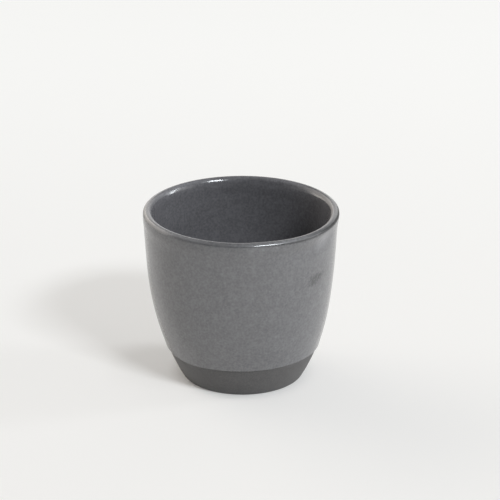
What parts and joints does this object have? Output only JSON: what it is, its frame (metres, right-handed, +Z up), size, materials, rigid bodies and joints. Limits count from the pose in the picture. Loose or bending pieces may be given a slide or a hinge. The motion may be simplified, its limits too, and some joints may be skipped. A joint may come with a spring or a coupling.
{
  "type": "espresso cup",
  "caption": "Small handleless stoneware espresso cup with a curved wall, a round flaring lip, a speckled grey glaze inside and out, and a bare dark clay foot to stand on.",
  "frame": {"origin": "on the cup's axis, in the plane that the foot ring stands on", "axes": "+Z up along the cup's axis; the cup is round, so X and Y may point anywhere across it"},
  "size_m": [0.065, 0.065, 0.0585],
  "materials": {
    "clay": "matte, bare fired clay",
    "glaze": "satin gloss, finely speckled",
    "liner": "satin gloss, finely speckled"
  },
  "bodies": {
    "root": {"stoneware_body": "clay", "outer_glaze": "glaze", "liner_glaze": "liner"}
  },
  "joints": []
}
